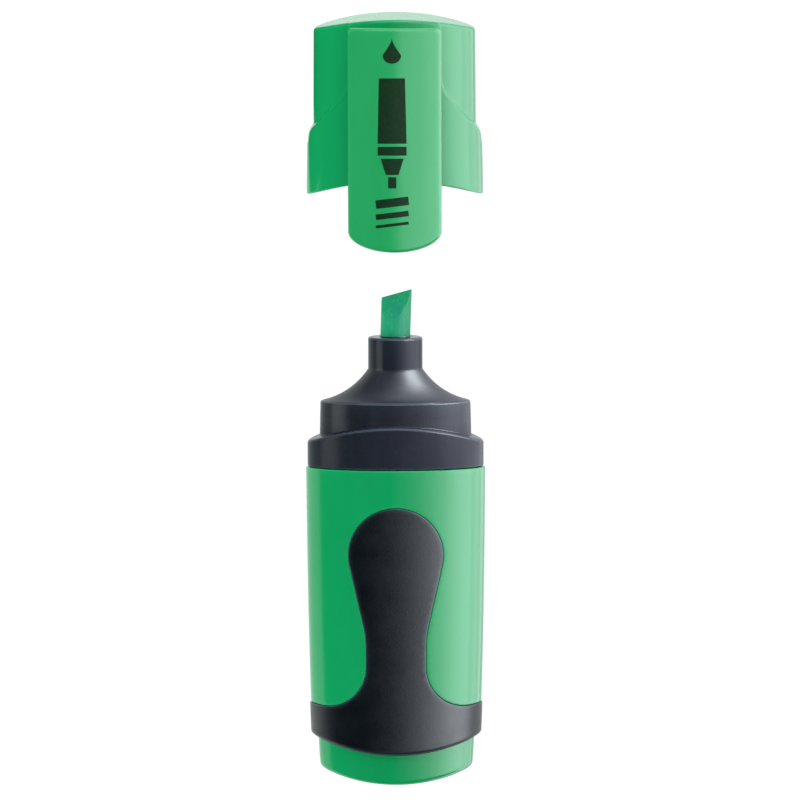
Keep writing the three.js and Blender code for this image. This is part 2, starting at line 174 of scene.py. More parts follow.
INNER_RADIUS = 4.6
INNER_BORE = 3.74
INNER_SPAN = (57.35, 68.5)
INNER_FLOOR = 67.55
INNER_LIP = (5.6, 0.8)
INNER_LIP_EDGE = 0.12
INNER_BEVEL = 0.3

CLIP_HALF = 6.29
CLIP_INNER = 7.85
CLIP_CROWN = 9.5
CLIP_CROWN_RADIUS = 22.0
CLIP_TOP = 69.22
CLIP_TIP = 39.05
CLIP_TIP_HEIGHT = 2.8
CLIP_ROOT_END = 63.85
CLIP_PAD = (3.0, 1.3, 1.2, 0.2)
CLIP_PAD_RAMP = 0.5
CLIP_PAD_Y = 43.75
CLIP_EDGE = 0.5
CLIP_CORNER = 0.7
CLIP_ROOT_OVAL = (11.74, 7.25)
CLIP_ROOT_SUNK = 0.5
CLIP_ROOT_ROUND = 0.9


def place(points, in_cap):
    """Pen coordinates in millimetres as places in the frame in metres."""
    placed = np.array(points, float) * MM
    placed[:, 1] += TAIL_Y + (CAP_SHIFT * MM if in_cap else 0)
    placed[:, 2] += AXIS_Z
    return placed


# ---- Meshes --------------------------------------------------------------------------

LINE_SPACING = 0.22
FILL_SPACING = 0.5
# How sharply a surface bends, in 1/mm, where its edge starts to be painted paler and where it is palest:
# partly wear, partly a painted highlight.
PALE_EDGE_FROM = 0.5
PALE_EDGE_FULL = 2.0


def shown(name, data):
    made = bpy.data.objects.new(name, data)
    bpy.context.scene.collection.objects.link(made)
    return made


def piece(name, points, faces, in_cap=False, sharp=40):
    """A smooth-shaded object whose edges sharper than an angle stay crisp."""
    mesh = bpy.data.meshes.new(name)
    mesh.from_pydata(place(points, in_cap).tolist(), [], faces)
    bm = bmesh.new()
    bm.from_mesh(mesh)
    bmesh.ops.remove_doubles(bm, verts=bm.verts, dist=2e-6)
    bmesh.ops.dissolve_degenerate(bm, edges=bm.edges, dist=1e-6)
    bmesh.ops.recalc_face_normals(bm, faces=bm.faces)
    bm.to_mesh(mesh)
    bm.free()
    mesh.shade_smooth()
    mesh.set_sharp_from_angle(angle=math.radians(sharp))
    mark_edges(mesh)
    return shown(name, mesh)


def mark_edges(mesh):
    """Stores, as a point attribute, 1 at points on tightly rounded outer edges and 0 on open faces: where
    the materials paint edges paler, partly as wear and partly as a painted highlight.
    """
    count = len(mesh.vertices)
    at = np.empty(count * 3)
    mesh.vertices.foreach_get("co", at)
    at = at.reshape(-1, 3) / MM
    normals = np.empty(count * 3)
    mesh.vertices.foreach_get("normal", normals)
    normals = normals.reshape(-1, 3)
    ends = np.empty(len(mesh.edges) * 2, np.int32)
    mesh.edges.foreach_get("vertices", ends)
    a, b = ends.reshape(-1, 2).T
    span = at[a] - at[b]
    length2 = (span**2).sum(axis=1)
    bend = np.zeros(count)
    neighbours = np.zeros(count)
    for start, way in ((a, 2), (b, -2)):
        np.add.at(bend, start, way * (normals[start] * span).sum(axis=1) / length2)
        np.add.at(neighbours, start, 1)
    wear = np.clip((bend / np.maximum(neighbours, 1) - PALE_EDGE_FROM) / (PALE_EDGE_FULL - PALE_EDGE_FROM), 0, 1)
    mesh.attributes.new("edge_wear_and_highlight", "FLOAT", "POINT").data.foreach_set("value", wear)


def oval_angles(columns):
    return np.arange(columns) * TAU / columns


def ring(half, y, angles):
    """One oval ring of points. y is a number or a function of x."""
    x = half[0] * np.cos(angles)
    z = half[1] * np.sin(angles)
    heights = y(x) if callable(y) else np.full_like(x, y)
    return np.stack([x, heights, z], axis=1)


def grid_faces(rows, columns, wrap_rows=False, wrap_columns=True, start=0):
    faces = []
    for r in range(rows if wrap_rows else rows - 1):
        below = start + r * columns
        above = start + (r + 1) % rows * columns
        for c in range(columns if wrap_columns else columns - 1):
            right = (c + 1) % columns
            faces.append((below + c, below + right, above + right, above + c))
    return faces


def skin(rows, closed=False):
    """Points and faces of a skin over rings of points. Open ends get a pole."""
    count = len(rows[0])
    points = np.concatenate(rows)
    faces = grid_faces(len(rows), count, wrap_rows=closed)
    if not closed:
        for row, first in ((rows[0], 0), (rows[-1], (len(rows) - 1) * count)):
            pole = len(points)
            points = np.concatenate([points, row.mean(axis=0, keepdims=True)])
            faces += [(first + c, first + (c + 1) % count, pole) for c in range(count)]
    return points, faces


def loft(rings, angles, closed=False):
    """A skin over rings of (half sizes, y)."""
    return skin([ring(half, y, angles) for half, y in rings], closed)


def shrunk(half, inset):
    return (half[0] - inset, half[1] - inset)


def scaled(half, share):
    return (half[0] * share, half[1] * share)


def mixed(a, b, share):
    return (a[0] + (b[0] - a[0]) * share, a[1] + (b[1] - a[1]) * share)


def shifted(y, by):
    return (lambda x: y(x) + by) if callable(y) else y + by


def quarter_turn(steps):
    """Steps round a quarter circle: how far each is inside the side wall, and short of the face."""
    for i in range(steps + 1):
        a = math.pi / 2 * i / steps
        yield 1 - math.cos(a), 1 - math.sin(a)


def outer_fillet(half, y, radius, up, steps=5):
    """Rings that round an outer edge, from the side wall onto a face that looks up or down."""
    drop = -radius if up else radius
    return [(shrunk(half, radius * u), shifted(y, drop * v)) for u, v in quarter_turn(steps)]


def inner_fillet(half, y, radius, steps=5):
    """Rings that fill the corner between a face that looks up and a wall rising from it."""
    return [(shrunk(half, -radius * v), shifted(y, radius * u)) for u, v in quarter_turn(steps)]


def arch(radius, crown):
    """Height of an arch over x. A negative radius sags towards the tail."""
    r = abs(radius)
    way = math.copysign(1, radius)
    return lambda x: crown + way * (np.sqrt(r * r - np.minimum(x * x, r * r)) - r)


# ---- Barrel and grip -----------------------------------------------------------------


def barrel_half(y):
    """Half the barrel's width, which narrows more and more towards the tail."""
    back = MOUTH_Y - y
    return BARREL_HALF - BARREL_TAPER * back - BARREL_CURVE * back**3


# A quarter of the barrel's outline halfway along it, and how long it is up to each angle.
UNROLL_HALF = 11.7
UNROLL_STEPS = 2000
UNROLL_ANGLE = np.linspace(0, math.pi / 2, UNROLL_STEPS)
UNROLL_X = UNROLL_HALF * np.sin(UNROLL_ANGLE)
UNROLL_Z = BARREL_HALF_DEPTH * np.cos(UNROLL_ANGLE)
UNROLL_LENGTH = np.concatenate([[0], np.cumsum(np.hypot(np.diff(UNROLL_X), np.diff(UNROLL_Z)))])
SIDE_S = UNROLL_LENGTH[-1]


def unrolled(x, y):
    """Distance round the barrel from its middle to a point at x in the front view."""
    angle = np.arcsin(np.clip(x / barrel_half(y), 0, 1))
    return np.interp(angle, UNROLL_ANGLE, UNROLL_LENGTH)


def rolled(s, y, height):
    """The place on one quarter of the barrel, at a height above its surface."""
    angle = np.interp(s, UNROLL_LENGTH, UNROLL_ANGLE)
    half = barrel_half(y)
    x = half * np.sin(angle)
    z = BARREL_HALF_DEPTH * np.cos(angle)
    nx = np.sin(angle) / half
    nz = np.cos(angle) / BARREL_HALF_DEPTH
    size = np.hypot(nx, nz)
    return np.stack([x + height * nx / size, y, z + height * nz / size], axis=-1)


def arc_points(centre, radius, first, last):
    count = max(3, int(abs(last - first) * radius / LINE_SPACING))
    a = np.linspace(first, last, count + 1)
    return np.stack([centre[0] + radius * np.cos(a), centre[1] + radius * np.sin(a)], axis=1)


def grip_upper_edge(margin):
    """Front view of the upper edge of the band and its tongue, from the side to the middle."""
    upper = GRIP_UPPER[0] - margin
    upper_centre = GRIP_UPPER[1] + GRIP_UPPER[0]
    flare = GRIP_FLARE - margin
    waist = GRIP_WAIST + margin
    flare_x = waist + flare
    flare_y = upper_centre - math.sqrt((upper - flare) ** 2 - flare_x**2)
    head = GRIP_HEAD[0] + margin
    bend = GRIP_BEND - margin
    line_x = head * math.cos(GRIP_SLOPE)
    line_y = GRIP_HEAD[1] - head * math.sin(GRIP_SLOPE)
    bend_x = waist + bend
    bend_top = line_y - (line_x - bend_x + bend * math.cos(GRIP_SLOPE)) / math.tan(GRIP_SLOPE)
    bend_y = bend_top - bend * math.sin(GRIP_SLOPE)
    meet = math.atan2(flare_y - upper_centre, flare_x)
    side_y = GRIP_UPPER_SIDE_Y
    for _ in range(4):
        side_y = upper_centre - math.sqrt(upper**2 - barrel_half(side_y) ** 2)
    edge = -math.acos(barrel_half(side_y) / upper)
    parts = [
        arc_points((0, upper_centre), upper, edge, meet),
        arc_points((flare_x, flare_y), flare, meet, -math.pi),
        arc_points((bend_x, bend_y), bend, math.pi, math.pi - GRIP_SLOPE),
        arc_points((0, GRIP_HEAD[1]), head, -GRIP_SLOPE, math.pi / 2),
    ]
    line = np.concatenate(parts)
    steps = np.hypot(*np.diff(line, axis=0).T)
    keep = np.concatenate([[True], steps > 1e-3])
    line = line[keep]
    s = unrolled(line[:, 0], line[:, 1])
    s[0] = SIDE_S
    s[-1] = 0
    return resampled(np.stack([s, line[:, 1]], axis=1))


def grip_lower_edge(margin):
    """The band's lower edge, from the middle to the side."""
    sag = arch(-GRIP_LOWER[0], GRIP_LOWER[1] + margin)
    x = barrel_half(GRIP_LOWER_SIDE_Y) * np.sin(np.linspace(0, math.pi / 2, 90))
    s = unrolled(x, GRIP_LOWER_WRAP_Y)
    y = sag(x)
    s[0] = 0
    s[-1] = SIDE_S
    return resampled(np.stack([s, y], axis=1))


def resampled(line):
    """The same line with its points evenly spaced."""
    steps = np.hypot(*np.diff(line, axis=0).T)
    along = np.concatenate([[0], np.cumsum(steps)])
    count = int(along[-1] / LINE_SPACING)
    at = np.linspace(0, along[-1], count + 1)
    return np.stack([np.interp(at, along, line[:, i]) for i in (0, 1)], axis=1)


def inward(line):
    """Unit normals to the left of a line, upright in the unrolled plane at both its ends."""
    ahead = np.roll(line, -1, axis=0) - np.roll(line, 1, axis=0)
    normals = np.stack([-ahead[:, 1], ahead[:, 0]], axis=1)
    normals /= np.linalg.norm(normals, axis=1, keepdims=True)
    for i in (0, -1):
        normals[i] = (0, math.copysign(1, normals[1 if i == 0 else -2][1]))
    return normals


def strip(points, faces, rows):
    """Adds a strip of quads through rows of (line, height), and returns the last row's line."""
    columns = len(rows[0][0])
    start = sum(len(p) for p in points)
    for line, height in rows:
        points.append(rolled(line[:, 0], line[:, 1], height))
    faces += grid_faces(len(rows), columns, wrap_columns=False, start=start)
    return rows[-1][0]


def triangulated(outline):
    """A fine triangle mesh inside a closed outline, as flat points and faces."""
    low = outline.min(axis=0)
    high = outline.max(axis=0)
    inside = []
    row = 0
    y = low[1] + FILL_SPACING / 2
    while y < high[1]:
        x = low[0] + FILL_SPACING * (0.5 if row % 2 else 1.0)
        while x < high[0]:
            inside.append((x, y))
            x += FILL_SPACING
        row += 1
        y += FILL_SPACING * 0.866
    inside = np.array(inside)
    ends = np.roll(outline, -1, axis=0)
    gap = np.full(len(inside), 1e9)
    crossings = np.zeros(len(inside), int)
    for a, b in zip(outline, ends):
        span = b - a
        length2 = span @ span
        if length2 < 1e-12:
            continue
        t = np.clip((inside - a) @ span / length2, 0, 1)
        near = a + t[:, None] * span
        gap = np.minimum(gap, np.hypot(*(inside - near).T))
        straddles = (a[1] > inside[:, 1]) != (b[1] > inside[:, 1])
        if b[1] != a[1]:
            hit = a[0] + (inside[:, 1] - a[1]) / (b[1] - a[1]) * span[0]
            crossings += straddles & (inside[:, 0] < hit)
    inside = inside[(gap > FILL_SPACING * 0.5) & (crossings % 2 == 1)]
    every = np.concatenate([outline, inside])
    loop = list(range(len(outline)))
    made = delaunay_2d_cdt([Vector(p) for p in every], [], [loop], 1, 1e-6)
    return np.array([tuple(v) for v in made[0]]), made[2]


def filled(points, faces, outline, height):
    """Adds a fine triangle mesh inside a closed outline on the unrolled barrel."""
    flat, made = triangulated(outline)
    start = sum(len(p) for p in points)
    points.append(rolled(flat[:, 0], flat[:, 1], height))
    faces += [tuple(start + i for i in face) for face in made]


def four_quarters(points, faces):
    """Mirrors one quarter of the barrel across its two planes of symmetry."""
    quarter = np.concatenate(points)
    count = len(quarter)
    every = []
    skins = []
    for i, (sx, sz) in enumerate(((1, 1), (-1, 1), (1, -1), (-1, -1))):
        every.append(quarter * np.array([sx, 1, sz]))
        for face in faces:
            moved = tuple(i * count + v for v in face)
            skins.append(moved if sx * sz > 0 else moved[::-1])
    return np.concatenate(every), skins


def joined(*lines):
    """A closed outline along some lines, with straight sides from each to the next."""
    parts = []
    for line, after in zip(lines, (*lines[1:], lines[0])):
        count = max(1, int(np.linalg.norm(np.subtract(after[0], line[-1])) / FILL_SPACING))
        parts += [line, np.linspace(line[-1], after[0], count + 1)[1:-1]]
    return np.concatenate(parts)


def grip_sleeve():
    points = []
    faces = []
    upper = grip_upper_edge(0)
    lower = grip_lower_edge(0)
    inner_rows = []
    for line, radius, steps in ((upper, GRIP_ROUND[0], 4), (lower, GRIP_ROUND[1], 10)):
        normals = inward(line)
        rows = [(line, -GRIP_DEEP)]
        for u, v in quarter_turn(steps):
            rows.append((line + normals * radius * u, GRIP_PROUD - radius * v))
        inner_rows.append(strip(points, faces, rows))
    filled(points, faces, joined(*inner_rows), GRIP_PROUD)
    filled(points, faces, joined(upper, lower), -GRIP_DEEP)
    return piece("grip_band", *four_quarters(points, faces), sharp=50)


def barrel():
    points = []
    faces = []
    upper = grip_upper_edge(FIT)
    lower = grip_lower_edge(FIT)
    floor = -GRIP_DEEP - FIT

    # The visible skin, from the grip's edge to the mouth.
    normals = -inward(upper)
    rows = [(upper, floor)]
    for u, v in quarter_turn(3):
        rows.append((upper + normals * GRIP_BRIM * u, -GRIP_BRIM * v))
    rim = strip(points, faces, rows)
    mouth_s = np.linspace(SIDE_S, 0, 72)
    mouth = []
    for u, v in quarter_turn(4):
        line = np.stack([mouth_s, np.full_like(mouth_s, MOUTH_Y - BARREL_EDGE * v)], axis=1)
        mouth.append((line, -BARREL_EDGE * u))
    strip(points, faces, mouth)
    filled(points, faces, joined(rim[::-1], mouth[0][0]), 0.0)

    # The floor of the recess under the grip.
    filled(points, faces, joined(upper, lower), floor)

    # The bore, as rows of the same columns as the lower edge and the mouth.
    angle = np.interp(lower[:, 0], UNROLL_LENGTH, UNROLL_ANGLE)
    start = sum(len(p) for p in points)
    bore = [rolled(lower[:, 0], lower[:, 1], floor)]
    for half, y in BARREL_BORE:
        heights = lower[:, 1] if y is None else np.full(len(lower), y)
        bore.append(np.stack([half[0] * np.sin(angle), heights, half[1] * np.cos(angle)], axis=1))
    points += bore
    faces += grid_faces(len(bore), len(lower), wrap_columns=False, start=start)

    # The end face at the mouth, between the bore and the skin.
    start = sum(len(p) for p in points)
    outer = rolled(lower[:, 0], np.full(len(lower), MOUTH_Y), -BARREL_EDGE)
    points += [bore[-1], outer]
    faces += grid_faces(2, len(lower), wrap_columns=False, start=start)
    return piece("barrel_body", *four_quarters(points, faces), sharp=50)


# ---- Tail, front section, nib and reservoir -------------------------------------------


def tail_plug():
    end = arch(-TAIL_ARC, 0)
    seam = arch(-GRIP_LOWER[0], GRIP_LOWER[1])
    angles = oval_angles(320)
    rings = [(scaled(TAIL_TIP, s), end) for s in (0.04, 0.16, 0.3, 0.45, 0.6, 0.75, 0.87)]
    rings += outer_fillet(TAIL_TIP, end, TAIL_ROUND, up=False, steps=8)[::-1]
    for s in (0.4, 0.7, 0.9):
        rings.append((mixed(TAIL_TIP, TAIL_ROOT, s), lambda x, s=s: end(x) * (1 - s) + s * seam(x)))
    rings += [(TAIL_ROOT, shifted(seam, -0.02)), (shrunk(TAIL_ROOT, 0.03), seam)]
    rings += [(TAIL_SPIGOT, seam), (TAIL_SPIGOT, TAIL_SPIGOT_END - 0.8)]
    rings += [(shrunk(TAIL_SPIGOT, 0.4), TAIL_SPIGOT_END), (TAIL_HOLLOW, TAIL_SPIGOT_END)]
    rings += [(scaled(TAIL_HOLLOW, s), arch(-TAIL_ARC, TAIL_HOLLOW_END)) for s in (1, 0.75, 0.4, 0.1)]
    return piece("tail_end", *loft(rings, angles))


def cone_rings(steps=22):
    rise = CONE_TOP - NECK_TOP_Y
    run = NECK_TOP[0] - NOZZLE_RADIUS
    chord = math.hypot(rise, run)
    bow = math.sqrt(CONE_RADIUS**2 - (chord / 2) ** 2)
    centre_x = (NECK_TOP[0] + NOZZLE_RADIUS) / 2 + bow * rise / chord
    centre_y = (NECK_TOP_Y + CONE_TOP) / 2 + bow * run / chord
    first = math.atan2(NECK_TOP_Y - centre_y, NECK_TOP[0] - centre_x)
    last = math.atan2(CONE_TOP - centre_y, NOZZLE_RADIUS - centre_x)
    rings = []
    for a in np.linspace(first, last, steps + 1):
        width = centre_x + CONE_RADIUS * math.cos(a)
        share = (width - NOZZLE_RADIUS) / run
        depth = NOZZLE_RADIUS + (NECK_TOP[1] - NOZZLE_RADIUS) * share
        rings.append(((width, depth), centre_y + CONE_RADIUS * math.sin(a)))
    return rings


def front_section():
    top = arch(ARCH_RADIUS, FLANGE_TOP)
    nozzle = (NOZZLE_RADIUS, NOZZLE_RADIUS)
    bore = (NIB_RADIUS + FIT, NIB_RADIUS + FIT)
    base = MOUTH_Y + FIT
    rings = [(bore, FRONT_FUNNEL_TOP), (FRONT_FUNNEL, FRONT_FUNNEL_TOP), (FRONT_HOLLOW, FRONT_HOLLOW_TOP)]
    rings += [(FRONT_HOLLOW, SKIRT_END), (SKIRT_TAPER, SKIRT_END), (SKIRT, base)]
    rings += outer_fillet(FLANGE, base, 0.25, up=False)[::-1]
    rings += outer_fillet(FLANGE, top, 0.34, up=True, steps=6)
    rings += inner_fillet(NECK, top, 0.22)
    rings += [(mixed(NECK, NECK_TOP, 0.5), NECK_MIDDLE_Y)]
    rings += outer_fillet(NECK_TOP, NECK_TOP_Y, 0.2, up=True)[:-1]
    rings += [(half, y) for half, y in cone_rings() if half[0] < NECK_TOP[0] - 0.2]
    rings += [(nozzle, CONE_TOP + 0.12), (nozzle, NOZZLE_MIDDLE_Y)]
    rings += outer_fillet(nozzle, NOZZLE_TOP, 0.32, up=True, steps=6)
    rings += [(mixed(nozzle, bore, 0.5), NOZZLE_TOP)]
    rings += outer_fillet(bore, NOZZLE_TOP, -0.14, up=True, steps=4)[::-1]
    return piece("front_grip_section", *loft(rings, oval_angles(360), closed=True), sharp=38)


def felt_nib():
    """A round rod cut to a slanted chisel, with softened edges."""
    rod = (NIB_RADIUS, NIB_RADIUS)
    rings = outer_fillet(rod, NIB_START, 0.4, up=False)[::-1]
    rings += [(rod, y) for y in (48.0, 54.0, 60.4, 61.2, 62.0, 63.0, 64.0, 65.0, 66.0, 67.0)]
    points, faces = loft(rings, oval_angles(96))
    mesh = bpy.data.meshes.new("felt_tip")
    mesh.from_pydata(points.tolist(), [], faces)
    bm = bmesh.new()
    bm.from_mesh(mesh)
    half = NIB_LAND / 2
    for side in (0, -1, 1):
        at = (0, NIB_EDGE_Y, side * half)
        normal = (-NIB_SLANT, 1, side * NIB_BEVEL)
        whole = bm.verts[:] + bm.edges[:] + bm.faces[:]
        cut = bmesh.ops.bisect_plane(
            bm, geom=whole, dist=1e-5, plane_co=at, plane_no=normal, clear_outer=True
        )
        rim = [e for e in cut["geom_cut"] if isinstance(e, bmesh.types.BMEdge)]
        bmesh.ops.edgeloop_fill(bm, edges=rim)
    bmesh.ops.recalc_face_normals(bm, faces=bm.faces)
    c = math.cos(NIB_TURN)
    s = math.sin(NIB_TURN)
    turn = np.array([[c, 0, s], [0, 1, 0], [-s, 0, c]])
    turned = np.array([v.co for v in bm.verts]) @ turn.T
    turned[:, 0] += NIB_LEAN * np.maximum(turned[:, 1] - NOZZLE_TOP, 0)
    for vertex, spot in zip(bm.verts, place(turned, in_cap=False)):
        vertex.co = spot
    bm.to_mesh(mesh)
    bm.free()
    mesh.shade_smooth()
    mesh.set_sharp_from_angle(angle=math.radians(35))
    made = shown("felt_tip", mesh)
    soften = made.modifiers.new("soften", "BEVEL")
    soften.width = 0.09 * MM
    soften.segments = 3
    soften.limit_method = "ANGLE"
    soften.angle_limit = math.radians(28)
    soften.harden_normals = True
    return made


def reservoir_core():
    hole = (NIB_RADIUS + FIT, NIB_RADIUS + FIT)
    bottom = CORE_SPAN[1] - CORE_NIB_DEPTH
    rings = outer_fillet(CORE, CORE_SPAN[0], CORE_EDGE, up=False)[::-1]
    rings += outer_fillet(CORE, CORE_SPAN[1], CORE_EDGE, up=True)
    rings += [(hole, CORE_SPAN[1]), (hole, bottom), (scaled(hole, 0.3), bottom)]
    return piece("ink_core", *loft(rings, oval_angles(120)))


def reservoir_film():
    inside = shrunk(CORE, -FIT)
    outside = shrunk(inside, -FILM_WALL)
    rings = [(inside, FILM_END), (inside, CORE_SPAN[0]), (outside, CORE_SPAN[0]), (outside, FILM_END)]
    return piece("core_wrap", *loft(rings, oval_angles(120), closed=True))


# ---- Cap -----------------------------------------------------------------------------

SOFT_TURN = 0.42  # how far the rounding reaches either side of a turn


def soft_clamp(u):
    """u kept between 0 and 1, with rounded turns."""
    low = np.where(u < SOFT_TURN, np.maximum(u + SOFT_TURN, 0) ** 2 / (4 * SOFT_TURN), u)
    back = 1 - u
    return np.where(back < SOFT_TURN, 1 - np.maximum(back + SOFT_TURN, 0) ** 2 / (4 * SOFT_TURN), low)


WING_TURN = math.pi / 2 - WING_SLOPE
WING_CORNER_X = CAP_SKIRT[0] - WING_CORNER
WING_LINE_X = WING_CORNER_X + WING_CORNER * math.cos(WING_TURN)
WING_LINE_Y = WING_SIDE_Y + WING_CORNER * math.sin(WING_TURN)
WING_SWEEP_X = WING_COLUMN + WING_SWEEP
WING_SWEEP_END_X = WING_SWEEP_X - WING_SWEEP * math.cos(WING_TURN)
WING_SWEEP_END_Y = WING_LINE_Y + (WING_LINE_X - WING_SWEEP_END_X) * math.tan(WING_SLOPE)
WING_SWEEP_Y = WING_SWEEP_END_Y + WING_SWEEP * math.sin(WING_TURN)


def wing_edge_x(y):
    """How far out the raised wing reaches at each height."""
    corner = WING_CORNER_X + np.sqrt(np.maximum(WING_CORNER**2 - np.maximum(y - WING_SIDE_Y, 0) ** 2, 0))
    corner = corner + np.maximum(WING_SIDE_Y - y, 0) * WING_FLARE
    line = WING_LINE_X - (y - WING_LINE_Y) / math.tan(WING_SLOPE)
    sweep = WING_SWEEP_X - np.sqrt(np.maximum(WING_SWEEP**2 - np.maximum(WING_SWEEP_Y - y, 0) ** 2, 0))
    return np.where(y < WING_LINE_Y, corner, np.where(y < WING_SWEEP_END_Y, line, sweep))


WING_SAMPLE_Y = np.linspace(CAP_RIM_Y - 4, WING_SWEEP_Y, 1500)
WING_SAMPLE_X = wing_edge_x(WING_SAMPLE_Y)


def wing_edge_y(x):
    """The height of the wing's edge at each distance from the middle."""
    return np.interp(-x, -WING_SAMPLE_X, WING_SAMPLE_Y)


def cap_point(cosine, sine, y, inset):
    """Points on the cap's outer surface, moved in by an inset."""
    up = (y - CAP_RIM_Y) / (ROOF_Y - CAP_RIM_Y)
    body_x = CAP_BODY[0] + (CAP_BODY_TOP[0] - CAP_BODY[0]) * up
    lower = np.clip((WING_SIDE_Y - y) / (WING_SIDE_Y - CAP_RIM_Y), 0, 1)
    skirt_x = CAP_SKIRT[0] + (CAP_RIM[0] - CAP_SKIRT[0]) * lower
    reach = np.abs(cosine)
    share = soft_clamp((wing_edge_x(y) - body_x * reach) / np.maximum((skirt_x - body_x) * reach, 1e-6))
    half_x = body_x + (skirt_x - body_x) * share - inset
    half_z = CAP_BODY[1] + (CAP_SKIRT[1] - CAP_BODY[1]) * share - inset
    return np.stack([half_x * cosine, y, half_z * sine], axis=-1)


def cap_shell():
    angles = oval_angles(432)
    corners = []
    for reach in (WING_COLUMN / CAP_SKIRT[0], WING_COLUMN / CAP_BODY_TOP[0]):
        for nudge in np.linspace(-0.014, 0.014, 5):
            a = math.acos(reach) + nudge
            corners += [a, math.pi - a, math.pi + a, TAU - a]
    angles = np.sort(np.concatenate([angles, corners]))
    cosine = np.cos(angles)
    sine = np.sin(angles)
    reach = np.abs(cosine)
    body_x = CAP_BODY[0]
    skirt_x = CAP_SKIRT[0]
    rim = arch(ARCH_RADIUS, CAP_RIM_Y)
    roof = arch(ROOF_RADIUS, ROOF_Y)

    def edge_y(share):
        x = body_x * reach + share * (skirt_x - body_x) * reach
        return np.where(x < WING_COLUMN, WING_SWEEP_Y, wing_edge_y(x))

    rows = []
    rim_y = rim((CAP_RIM[0] - CAP_LIP) * cosine)
    for u, v in quarter_turn(5):
        rows.append(cap_point(cosine, sine, rim_y + CAP_LIP * u, CAP_LIP * v))
    start_y = rim_y + CAP_LIP
    # Shares past 0 and 1 give the soft ledge its rounded foot and brow.
    shares = np.linspace(1.45, -0.45, 20)
    ledge = [np.minimum(edge_y(u), WING_SWEEP_Y - 0.5 + 0.5 * (1 - u)) for u in shares]
    for s in (0.3, 0.6, 0.85):
        rows.append(cap_point(cosine, sine, start_y + (ledge[0] - start_y) * s, 0))
    for y in ledge:
        rows.append(cap_point(cosine, sine, y, 0))
    wall = cap_point(cosine, sine, roof(body_x * cosine) - CAP_EDGE, 0)
    end_y = roof(wall[:, 0]) - CAP_EDGE
    for s in (0.12, 0.3, 0.5, 0.7, 0.88):
        rows.append(cap_point(cosine, sine, ledge[-1] + (end_y - ledge[-1]) * s, 0))
    for u, v in quarter_turn(7):
        inner = cap_point(cosine, sine, end_y, CAP_EDGE * u)
        inner[:, 1] = roof(inner[:, 0]) - CAP_EDGE * v
        rows.append(inner)
    top = rows[-1]
    for s in (0.9, 0.75, 0.55, 0.35, 0.15, 0.03):
        inner = top * np.array([s, 1, s])
        inner[:, 1] = roof(inner[:, 0])
        rows.append(inner)

    # The inside, from the rim's inner edge up to the roof.
    ceiling = arch(ROOF_RADIUS, ROOF_Y - CAP_ROOF)
    inside = [(shrunk(CAP_MOUTH, -0.15), rim), (CAP_MOUTH, shifted(rim, 0.15))]
    inside += [(CAP_SEAT, CAP_SEAT_TOP), (CAP_BORE, CAP_SEAT_TOP + CAP_SEAT_RAMP)]
    inside += [(CAP_BORE, shifted(ceiling, -CAP_INNER_ROUND))]
    inside += inner_fillet(shrunk(CAP_BORE, CAP_INNER_ROUND), ceiling, -CAP_INNER_ROUND)[1:]
    inside += [(scaled(CAP_BORE, s), ceiling) for s in (0.75, 0.5, 0.25, 0.03)]
    inside_rows = [ring(half, y, angles) for half, y in inside]
    return piece("cap_body", *skin(inside_rows[::-1] + rows), in_cap=True, sharp=42)


def inner_cap():
    lip_y = INNER_SPAN[1] - INNER_LIP[1]
    cup = (INNER_RADIUS, INNER_RADIUS)
    lip = (INNER_LIP[0], INNER_LIP[0])
    bore = (INNER_BORE, INNER_BORE)
    rings = [(scaled(bore, s), INNER_FLOOR) for s in (0.05, 0.6)]
    rings += [(shrunk(bore, INNER_BEVEL), INNER_FLOOR), (bore, INNER_FLOOR - INNER_BEVEL)]
    rings += [(bore, INNER_SPAN[0] + 0.6), (shrunk(bore, -0.25), INNER_SPAN[0])]
    rings += outer_fillet(cup, INNER_SPAN[0], 0.15, up=False)[::-1]
    rings += [(cup, lip_y - INNER_BEVEL), (shrunk(cup, -INNER_BEVEL), lip_y)]
    rings += outer_fillet(lip, lip_y, INNER_LIP_EDGE, up=False)[::-1]
    rings += outer_fillet(lip, INNER_SPAN[1], INNER_LIP_EDGE, up=True)
    rings += [(scaled(lip, 0.5), INNER_SPAN[1]), (scaled(lip, 0.05), INNER_SPAN[1])]
    return piece("vapour_cup", *loft(rings, oval_angles(128)), in_cap=True)


def clip_outline(inset):
    """Front view of half the clip, moved in by an inset, from its tip up the side to its top."""
    half = CLIP_HALF - inset
    inner = half - CLIP_CORNER
    top = CLIP_TOP - inset
    low = top - CLIP_CORNER
    shoulder = CLIP_TIP + CLIP_TIP_HEIGHT
    a = np.linspace(-math.pi / 2, 0, 48)
    bow = np.column_stack([half * np.cos(a), shoulder + (CLIP_TIP_HEIGHT - inset) * np.sin(a)])
    bow[0, 0] = 0
    side = np.column_stack([np.full(60, half), np.linspace(shoulder, low, 62)[1:-1]])
    a = np.linspace(0, math.pi / 2, 7)
    corner = np.column_stack([inner + CLIP_CORNER * np.cos(a), low + CLIP_CORNER * np.sin(a)])
    crest = np.column_stack([np.linspace(inner, 0, 14)[1:], np.full(13, top)])
    return np.concatenate([bow, side, corner, crest])


def crown(x):
    """Height of the clip's bowed outer face."""
    return CLIP_CROWN - CLIP_CROWN_RADIUS + np.sqrt(CLIP_CROWN_RADIUS**2 - x**2)


def clip_under(x, y):
    """The clip's inner face: free over most of its length, and sunk in the cap at its root."""
    sunk = CLIP_ROOT_OVAL[1] * np.sqrt(1 - (x / CLIP_ROOT_OVAL[0]) ** 2) - CLIP_ROOT_SUNK
    t = np.clip((y - (CLIP_ROOT_END - CLIP_ROOT_ROUND)) / CLIP_ROOT_ROUND, 0, 1)
    share = 1 - np.sqrt(1 - t**2)
    free = CLIP_INNER - pad_height(x, y)
    return free + (sunk - free) * np.where(y > CLIP_ROOT_END, 1, share)


